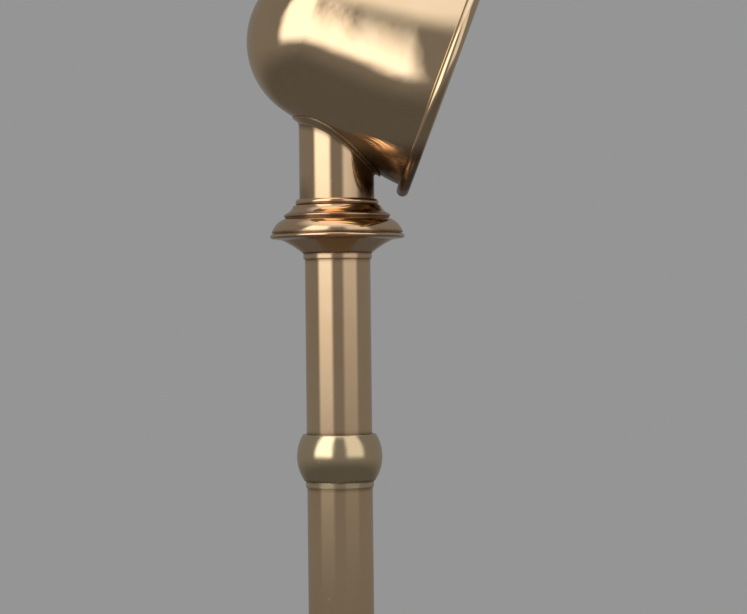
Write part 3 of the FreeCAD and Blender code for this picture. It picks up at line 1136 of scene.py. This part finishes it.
    def _saddle(self) -> None:
        """Make the brazed saddle: a hollow fillet with a lip at each edge."""
        deep, thick, lip = 2.3, 1.2, 0.4
        reach = self.saddle_r - 0.8
        start = self.neck_r + lip
        section: list[Point] = [(self.neck_r - 0.2, deep), (self.neck_r + lip * 0.6, deep),
                                (self.neck_r + lip * 0.92, deep - 0.12), (start, deep - 0.4)]
        for step in range(1, 12):
            turn = math.radians(90 * step / 12)
            section.append((reach - (reach - start) * math.cos(turn),
                            deep - 0.4 - (deep - 0.4 - thick) * math.sin(turn)))
        section += [(reach, thick), (self.saddle_r - 0.35, thick - 0.02), (self.saddle_r - 0.1, thick - 0.15),
                    (self.saddle_r, thick - 0.4), (self.saddle_r, -0.2)]
        around = 288
        verts: list[Vector] = []
        grime: list[float] = []
        last = len(section) - 1
        for place, (radius, offset) in enumerate(section):
            for step in range(around):
                turn = math.tau * step / around
                x, y = radius * math.cos(turn), radius * math.sin(turn)
                verts.append(Vector((x, y, self.surface_height(x, y, offset))))
                grime.append(0.9 if place in (0, last) else 0.45 if place in (1, last - 1) else 0.0)
        faces = []
        for ring in range(last):
            for step in range(around):
                beside = (step + 1) % around
                faces.append((ring * around + step, (ring + 1) * around + step,
                              (ring + 1) * around + beside, ring * around + beside))
        saddle = made_mesh("neck_saddle_fillet", verts, faces, None, grime)
        # Painted shade: darkens the saddle on the mouth side, under the cowl's rim.
        tarnish_and_shade_corner(saddle, 4.0, 20.0, 385.0, 370.0, 0.85)
        finish_piece(saddle, "neck_saddle", self.body, SADDLE_BRASS)

    def _gauze(self) -> None:
        """Weave the insect screen from two sets of crimped wires."""
        low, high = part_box("screen_gauze")
        level = (low.z + high.z) / 2 / MM
        reach = self.bore_r - 0.15
        verts: list[Vector] = []
        faces: list[tuple[int, ...]] = []
        count = int(reach // self.gauze_pitch)
        for across in (False, True):
            for number in range(-count, count + 1):
                offset = number * self.gauze_pitch
                half = math.sqrt(reach**2 - offset**2)
                self._wire(verts, faces, offset, half, level, number, across)
        gauze = made_mesh("insect_screen", verts, faces, None)
        finish_piece(gauze, "screen_gauze", self.body, GAUZE_BRONZE)

    def _wire(self, verts: list[Vector], faces: list[tuple[int, ...]], offset: float, half: float,
              level: float, number: int, across: bool) -> None:
        """Add one crimped wire of the screen.

        Args:
            verts: Points, added to.
            faces: Faces, added to.
            offset: The wire's distance from the middle.
            half: Half the wire's length.
            level: Height of the screen.
            number: The wire's number, which sets over or under.
            across: Whether it runs along Y.
        """
        sides = 6
        stops = max(4, int(half * 2 / self.gauze_pitch * 4))
        first = len(verts)
        phase = number % 2 + (0 if across else 1)
        for stop in range(stops + 1):
            along = -half + 2 * half * stop / stops
            lift = self.gauze_wire_r * 0.95 * math.cos(math.pi * (along / self.gauze_pitch + phase))
            for side in range(sides):
                turn = math.tau * side / sides
                wide = offset + self.gauze_wire_r * math.cos(turn)
                tall = level + lift + self.gauze_wire_r * math.sin(turn)
                verts.append(Vector((wide, along, tall) if across else (along, wide, tall)))
        for stop in range(stops):
            for side in range(sides):
                beside = (side + 1) % sides
                a, b = first + stop * sides + side, first + stop * sides + beside
                quad = (a, b, b + sides, a + sides)
                faces.append(quad[::-1] if across else quad)


@dataclass
class Collar:
    """The two-part turned collar, its washers and its clamping screw.

    Attributes:
        neck_fit_r: Radius of the collar's bore.
        shoulder: Height of the shoulder over the swivel.
        thread_r: Radius at which the halves meet.
        pipe_r: Outside radius of the standpipe.
    """

    neck_fit_r: float = 25.45
    shoulder: float = 322.8
    seam: float = 316.7
    thread_r: float = 35.0
    pipe_r: float = 22.225
    body: str = "stand"

    def build(self) -> None:
        """Make every piece of the collar."""
        self._cap()
        self._cup()
        self._lock_ring()
        self._bush()
        self._thumb_screw()
        dress_node("weather_seal", RUBBER)
        dress_node("friction_washer", FELT)
        dress_node("thrust_washer", BRONZE)
        dress_node("lock_pad", SCREW_BRASS)

    def _cap(self) -> None:
        """Turn the upper half: top ring, hollow, fillet and ovolo."""
        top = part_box("collar_cap")[1].z / MM
        made = Outline((self.neck_fit_r, self.shoulder), step=0.7)
        made.to(self.neck_fit_r, top, soft=0.4, grime=0.9)
        made.to(26.9, top, soft=0.3)
        made.bow((28.15, top - 1.7), 27.5, top - 4.0, grime=0.9)
        made.to(29.6, top - 4.4, soft=0.25)
        made.bow((31.9, top - 7.8), 35.1, top - 10.1, grime=0.6)
        made.bow((36.1, top - 11.15), 35.3, top - 12.2, grime=0.9)
        made.to(35.0, top - 12.9, grime=0.5)
        made.bow((41.4, top - 17.0), 44.6, self.seam, soft=0.3, grime=0.8)
        made.to(self.thread_r, self.seam)
        made.to(self.thread_r, self.shoulder)
        made.to(self.neck_fit_r, self.shoulder)
        finish_piece(turned("collar_top", made, upright(), 256), "collar_cap", self.body,
                     COLLAR_BRASS)

    def _cup(self) -> None:
        """Turn the lower half: thin lip and dished underside."""
        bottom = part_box("collar_cup")[0].z / MM
        web_low, web_high = 313.2, 316.2
        made = Outline((self.pipe_r, bottom), step=0.8)
        made.to(self.pipe_r, web_low)
        made.to(21.2, web_low)
        made.to(21.2, web_high)
        made.to(30.0, web_high)
        made.to(30.0, self.shoulder - 0.2)
        made.to(self.thread_r, self.shoulder - 0.2)
        made.to(self.thread_r, self.seam)
        made.to(43.2, self.seam)
        made.to(43.2, self.seam - 0.9, grime=1.0)
        made.to(44.4, self.seam - 0.9, soft=0.2)
        made.bow((45.7, self.seam - 2.4), 44.4, self.seam - 3.9, soft=0.2, grime=0.4)
        made.to(37.8, self.seam - 4.9, soft=0.5)
        made.bow((29.6, self.seam - 9.4), 23.4, bottom, grime=0.8)
        made.to(self.pipe_r, bottom)
        finish_piece(turned("collar_bottom", made, upright(), 256), "collar_cup", self.body,
                     COLLAR_BRASS)

    def _lock_ring(self) -> None:
        """Turn the narrow ring under the collar."""
        low, high = (corner.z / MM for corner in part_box("collar_lock_ring"))
        edge = self.pipe_r + 1.0
        made = Outline((self.pipe_r, low), step=0.8)
        made.to(edge, low, soft=0.35)
        made.to(edge, high, soft=0.35, grime=0.7)
        made.to(self.pipe_r, high)
        made.to(self.pipe_r, low, grime=0.7)
        finish_piece(turned("collar_ring", made, upright()), "collar_lock_ring", self.body,
                     COLLAR_BRASS)

    def _screw_placing(self) -> Matrix:
        """From a screw's own axes, with its head along +Z, to the back of the collar."""
        low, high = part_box("lock_screw")
        height = (low.z + high.z) / 2 / MM
        return Matrix.Translation((0.0, 0.0, height)) @ Matrix.Rotation(-math.pi / 2, 4, "X")

    def _bush(self) -> None:
        """Turn the threaded bush of the clamping screw."""
        low, high = (corner.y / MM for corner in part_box("screw_bush"))
        made = Outline((2.05, low), step=0.8, reach=0.8)
        made.to(3.6, low)
        made.to(3.6, high, soft=0.4)
        made.to(2.05, high, soft=0.2, grime=0.8)
        made.to(2.05, low)
        finish_piece(turned("clamp_bush", made, self._screw_placing(), 96), "screw_bush", self.body,
                     COLLAR_BRASS)

    def _thumb_screw(self) -> None:
        """Turn the clamping screw with its waisted, fluted thumb head."""
        low, high = (corner.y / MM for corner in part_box("lock_screw"))
        head = high - 8.0
        made = Outline((0.0, low), step=0.35, reach=0.8)
        made.to(1.6, low)
        made.to(2.0, low + 0.4)
        made.to(2.0, head, grime=0.8)
        made.to(4.2, head, soft=0.2)
        made.to(4.2, head + 1.5, grime=0.7)
        made.to(6.0, head + 1.5, soft=0.4)
        made.to(6.0, high, soft=0.6)
        made.to(4.4, high)
        made.bow((2.4, high - 0.45), 0.0, high - 0.6)
        made.to(0.0, low)
        screw = turned("thumb_screw", made, self._screw_placing(), 216)
        self._flute(screw, head + 1.5, high)
        finish_piece(screw, "lock_screw", "lock_screw", THUMB_BRASS)

    @staticmethod
    def _flute(screw: bpy.types.Object, low: float, high: float) -> None:
        """Press flutes into the rim of the thumb head.

        Args:
            screw: The turned screw.
            low: Where the rim starts, along Y.
            high: Where it ends.
        """
        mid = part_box("lock_screw")
        height = (mid[0].z + mid[1].z) / 2
        for vert in screw.data.vertices:
            x, z = vert.co.x, vert.co.z - height
            radius = math.hypot(x, z) / MM
            if radius > 5.3 and low - 0.01 <= vert.co.y / MM <= high + 0.01:
                turn = math.atan2(z, x)
                cut = 0.45 * max(0.0, math.cos(turn * 18)) ** 2
                share = (radius - cut) / radius
                vert.co.x, vert.co.z = x * share, height + z * share
        faces = len(screw.data.loops)
        screw.data.normals_split_custom_set([(0.0, 0.0, 0.0)] * faces)
        screw.data.set_sharp_from_angle(angle=math.radians(38))


@dataclass
class Standpipe:
    """The two lengths of pipe with the ball knop between them.

    Attributes:
        pipe_r: Outside radius of the pipe.
        bore_r: Inside radius of the pipe.
        ball_r: Radius of the ball.
        ball_centre: Height of the ball's centre.
        register: Half the height of the rib between the pipes.
    """

    pipe_r: float = 22.225
    bore_r: float = 20.625
    ball_r: float = 29.0
    ball_centre: float = 165.0
    register: float = 0.8
    body: str = "stand"

    def build(self) -> None:
        """Make every piece of the standpipe."""
        for name, node in (("standpipe_upper", "upper_pipe"), ("standpipe_lower", "lower_pipe")):
            self._pipe(name, node)
        self._ball()
        self._ball_ring()
        dress_node("ball_set_screws", SCREW_BRASS)

    def _pipe(self, name: str, node: str) -> None:
        """Draw one length of pipe.

        Args:
            name: The piece's name.
            node: The CAD node that gives its ends.
        """
        low, high = (corner.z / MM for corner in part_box(node))
        made = Outline((self.bore_r, low), step=1.6, reach=1.4)
        made.to(self.pipe_r, low, soft=0.2)
        made.to(self.pipe_r, high, soft=0.2)
        made.to(self.bore_r, high)
        made.to(self.bore_r, low)
        joints = [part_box("collar_lock_ring")[0].z / MM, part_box("ball_knop")[1].z / MM,
                  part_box("ball_ring")[0].z / MM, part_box("pipe_socket")[1].z / MM]
        made.grime = [((self.pipe_r, joint), 0.75) for joint in joints if low < joint < high]
        finish_piece(turned(name, made, upright(), 256), node, self.body, TUBE_BRASS)

    def _half_width(self, height: float) -> float:
        """Radius of the ball at a height."""
        return math.sqrt(self.ball_r**2 - (height - self.ball_centre) ** 2)

    def _ball(self) -> None:
        """Turn the ball with its flat top and the holes of its set screws."""
        low, high = (corner.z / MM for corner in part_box("ball_knop"))
        made = Outline((self.pipe_r, low), step=0.8)
        made.to(self._half_width(low), low, soft=0.3, grime=0.7)
        made.bow((self.ball_r, self.ball_centre), self._half_width(high), high, soft=0.7)
        made.to(self.pipe_r, high, grime=0.9)
        made.to(self.pipe_r, self.ball_centre + self.register)
        made.to(self.bore_r, self.ball_centre + self.register)
        made.to(self.bore_r, self.ball_centre - self.register)
        made.to(self.pipe_r, self.ball_centre - self.register)
        made.to(self.pipe_r, low)

        def on_ball(point: Vector) -> Vector:
            """The point moved in or out onto the ball."""
            flat = math.sqrt(max(0.0, self.ball_r**2 - point.x**2 - (point.z - self.ball_centre) ** 2))
            return Vector((point.x, flat, point.z))

        bores = tuple(
            Bore(Vector((0.0, 0.0, self.ball_centre + shift)), Vector((0.0, 1.0, 0.0)), 2.5, ((2.5, 4.5),),
                 settle=on_ball, applies=lambda p: p.y > self.pipe_r + 1.0)
            for shift in (7.0, -7.0)
        )
        finish_piece(turned("ball", made, upright(), 360, bores), "ball_knop", self.body,
                     BALL_BRASS)

    def _ball_ring(self) -> None:
        """Turn the narrow ring under the ball."""
        low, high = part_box("ball_ring")
        edge = high.x / MM
        made = Outline((self.pipe_r, low.z / MM), step=0.6)
        made.to(edge, low.z / MM, soft=0.4)
        made.to(edge, high.z / MM, soft=0.4, grime=0.8)
        made.to(self.pipe_r, high.z / MM)
        made.to(self.pipe_r, low.z / MM, grime=0.6)
        finish_piece(turned("ball_foot_ring", made, upright(), 256), "ball_ring", self.body,
                     BALL_BRASS)


@dataclass
class Foot:
    """The deck flange, the socket on it and the gasket under it.

    Attributes:
        pipe_r: Outside radius of the standpipe.
        flange_r: Radius of the flange.
        hole_r: Radius of a deck screw hole.
        head_r: Radius of its countersink.
        hole_circle: Diameter of the circle of holes.
    """

    pipe_r: float = 22.225
    flange_r: float = 60.0
    hole_r: float = 3.25
    head_r: float = 6.0
    hole_circle: float = 96.0
    boss_r: float = 28.5
    cove_r: float = 9.0
    body: str = "stand"

    def build(self) -> None:
        """Make every piece of the foot."""
        self._flange()
        self._socket()
        dress_node("deck_gasket", RUBBER)
        dress_node("socket_set_screws", SCREW_BRASS)

    def _flange(self) -> None:
        """Turn the flange and drill its four countersunk holes."""
        low, high = (corner.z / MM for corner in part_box("deck_flange"))
        made = Outline((self.pipe_r, low), step=0.9)
        made.to(self.flange_r, low, soft=0.3)
        made.to(self.flange_r, high - 2.5)
        made.bow((self.flange_r - 0.73, high - 0.73), self.flange_r - 2.5, high)
        made.to(self.pipe_r, high)
        made.to(self.pipe_r, low)
        made.grime = [((self.boss_r + self.cove_r, high), 0.8)]
        sink = self.head_r - self.hole_r
        bores: list[Bore] = []
        for step in range(4):
            turn = math.radians(45 + 90 * step)
            middle = (low + high) / 2
            place = Vector((math.cos(turn), math.sin(turn), 0.0)) * (self.hole_circle / 2)
            centre = place + Vector((0.0, 0.0, middle))
            wall = ((self.hole_r, sink), (self.hole_r, high - low))
            bores.append(Bore(centre, Vector((0.0, 0.0, 1.0)), self.head_r, wall))
            bores.append(Bore(centre, Vector((0.0, 0.0, -1.0)), self.hole_r, ()))
        finish_piece(turned("deck_plate", made, upright(), 360, tuple(bores)), "deck_flange", self.body,
                     FLANGE_BRASS)

    def _socket(self) -> None:
        """Turn the coved socket and drill it for its set screws."""
        low, high = (corner.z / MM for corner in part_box("pipe_socket"))
        slant = self.cove_r * (1 - math.sqrt(0.5))
        made = Outline((self.pipe_r, low), step=0.7)
        made.to(self.boss_r + self.cove_r, low, grime=0.8)
        made.bow((self.boss_r + slant, low + slant), self.boss_r, low + self.cove_r)
        made.to(self.boss_r, high - 1.5)
        made.bow((self.boss_r - 0.44, high - 0.44), self.boss_r - 1.5, high)
        made.to(self.pipe_r, high, grime=0.9)
        made.to(self.pipe_r, low)
        low_screw, high_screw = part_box("socket_set_screws")
        height = (low_screw.z + high_screw.z) / 2 / MM
        bores = []
        for angle in (70, 110):
            way = Vector((math.cos(math.radians(angle)), math.sin(math.radians(angle)), 0.0))
            bores.append(Bore(Vector((0.0, 0.0, height)), way, 3.0, ((3.0, 4.5),),
                              applies=lambda p: math.hypot(p.x, p.y) > self.pipe_r + 2.0))
        finish_piece(turned("pipe_socket_turned", made, upright(), 360, tuple(bores)), "pipe_socket",
                     self.body, FLANGE_BRASS)


# ---------------------------------------------------------------------------------------------
# Studio
# ---------------------------------------------------------------------------------------------


@dataclass(frozen=True)
class SoftBox:
    """A large soft box beside the vent, placed by compass and height angles.

    Attributes:
        name: What it is.
        middle: Its compass angle in degrees: 0 is the front, positive to the mouth's side.
        half: Half its width in degrees.
        low: Height angle of its lower edge.
        high: Height angle of its upper edge.
        colour: Its light.
    """

    name: str
    middle: float
    half: float
    low: float
    high: float
    colour: Colour


@dataclass
class Studio:
    """Plain studio: a neutral room with two soft boxes, a pale floor, two lights and the camera."""

    room: Colour = (0.2, 0.2, 0.2)
    ground: Colour = (0.1, 0.1, 0.1)
    ceiling: Colour = (1.0, 1.0, 1.0)
    backdrop: Colour = (0.3, 0.3, 0.3)
    soft_edge: float = 15.0
    soft_boxes: tuple[SoftBox, ...] = (
        SoftBox("key", -45.0, 25.0, 0.0, 60.0, (1.6, 1.6, 1.6)),
        SoftBox("fill", 45.0, 25.0, 0.0, 60.0, (0.8, 0.8, 0.8)),
    )
    lens: float = 115.7
    camera_place: tuple[float, float, float] = (0.024, -1.629, 0.266)
    camera_roll: float = math.radians(0.62)

    def build(self) -> None:
        """Make the surround, floor, lights and camera."""
        bpy.context.scene.view_settings.view_transform = "Standard"
        self._surround()
        self._floor()
        self._light("key", (-1.3, -0.75, 1.15), 0.55, 9.0, (0.93, 0.97, 1.0))
        self._light("back_fill", (0.9, 1.4, 1.0), 0.8, 9.0, (1.0, 0.95, 0.9))
        self._camera()

    def _surround(self) -> None:
        """Make the soft surround that the brass mirrors, behind a plain backdrop."""
        world = bpy.data.worlds.new("studio_surround")
        bpy.context.scene.world = world
        world.use_nodes = True
        shader = Shader(world.node_tree)
        way = shader.node("ShaderNodeTexCoord", {}, {}).outputs["Generated"]
        x, y, z = shader.parts(way)
        degrees = 180.0 / math.pi
        compass = x.math("ARCTAN2", y * -1.0) * degrees
        height = z.math("ARCSINE") * degrees
        colour = shader.mix(height.smooth(-30.0, 0.0), self.ground, self.room)
        colour = shader.mix(height.smooth(45.0, 75.0), colour, self.ceiling)
        for box in self.soft_boxes:
            colour = shader.mix(self._mask(compass, height, box), colour, box.colour)
        seen = Value(shader, shader.node("ShaderNodeLightPath", {}, {}).outputs["Is Camera Ray"])
        shown = shader.mix(seen, colour, self.backdrop)
        light = shader.node("ShaderNodeBackground", {}, {"Color": shown, "Strength": 1.0})
        shader.node("ShaderNodeOutputWorld", {}, {"Surface": light.outputs[0]})

    def _mask(self, compass: Value, height: Value, box: SoftBox) -> Value:
        """Where a soft box is.

        Args:
            compass: Compass angle of the direction looked in.
            height: Height angle of that direction.
            box: The soft box.

        Returns:
            1 on the box, 0 off it.
        """
        soft = self.soft_edge / 2
        away = (compass - box.middle).math("ABSOLUTE")
        across = away.smooth(box.half + soft, box.half - soft)
        above = height.smooth(box.low - soft, box.low + soft)
        below = height.smooth(box.high + soft, box.high - soft)
        return across * above * below

    @staticmethod
    def _floor() -> None:
        """Lay a pale round floor that fades out at its edge and that the brass does not mirror."""
        rings, around, reach = 12, 96, 0.43
        verts = [Vector((0.0, 0.0, 0.0))]
        for ring in range(1, rings + 1):
            for step in range(around):
                turn = math.tau * step / around
                radius = reach * ring / rings / MM
                verts.append(Vector((radius * math.cos(turn), radius * math.sin(turn), 0.0)))
        faces = [(0, 1 + step, 1 + (step + 1) % around) for step in range(around)]
        for ring in range(rings - 1):
            for step in range(around):
                a, b = 1 + ring * around + step, 1 + ring * around + (step + 1) % around
                faces.append((a, a + around, b + around, b))
        floor = made_mesh("floor", verts, faces, None)
        material = bpy.data.materials.new("pale_floor")
        material.use_nodes = True
        shader = Shader(material.node_tree)
        place = shader.place()
        x, y, _ = shader.parts(place)
        away = (x * x + y * y).math("SQRT")
        grain = shader.noise(place, 120.0, 3.0)
        colour = shader.mix(grain, (0.68, 0.61, 0.53), (0.76, 0.69, 0.60))
        surface = shader.node("ShaderNodeBsdfPrincipled", {}, {"Base Color": colour, "Roughness": 0.6})
        clear = shader.node("ShaderNodeBsdfTransparent", {}, {})
        fade = away.smooth(0.20, reach - 0.01)
        both = shader.node("ShaderNodeMixShader", {}, {0: fade, 1: surface.outputs[0], 2: clear.outputs[0]})
        shader.node("ShaderNodeOutputMaterial", {}, {"Surface": both.outputs[0]})
        floor.data.materials.append(material)
        floor.visible_glossy = False

    @staticmethod
    def _light(name: str, place: tuple[float, float, float], size: float, power: float, colour: Colour) -> None:
        """Hang one square soft light that looks at the vent.

        Args:
            name: Its name.
            place: Where it hangs, in metres.
            size: Length of its side, in metres.
            power: Its power in watts.
            colour: Its colour.
        """
        data = bpy.data.lights.new(name, "AREA")
        data.shape, data.size, data.energy, data.color = "SQUARE", size, power, colour
        lamp = bpy.data.objects.new(name, data)
        bpy.context.scene.collection.objects.link(lamp)
        lamp.location = place
        lamp.rotation_euler = (Vector((0.0, 0.0, 0.25)) - Vector(place)).to_track_quat("-Z", "Y").to_euler()
        lamp.visible_camera = False
        lamp.visible_glossy = False

    def _camera(self) -> None:
        """Stand the camera level with the standpipe, looking at its side."""
        data = bpy.data.cameras.new("camera")
        data.lens, data.sensor_width = self.lens, 36.0
        camera = bpy.data.objects.new("camera", data)
        camera.location = self.camera_place
        camera.rotation_euler = (math.pi / 2, self.camera_roll, 0.0)
        bpy.context.scene.collection.objects.link(camera)
        bpy.context.scene.camera = camera


def main() -> None:
    logging.basicConfig(level=logging.INFO, format="%(name)s %(message)s")
    CowlHead().build()
    Collar().build()
    Standpipe().build()
    Foot().build()
    Studio().build()


if __name__ == "__main__":
    main()
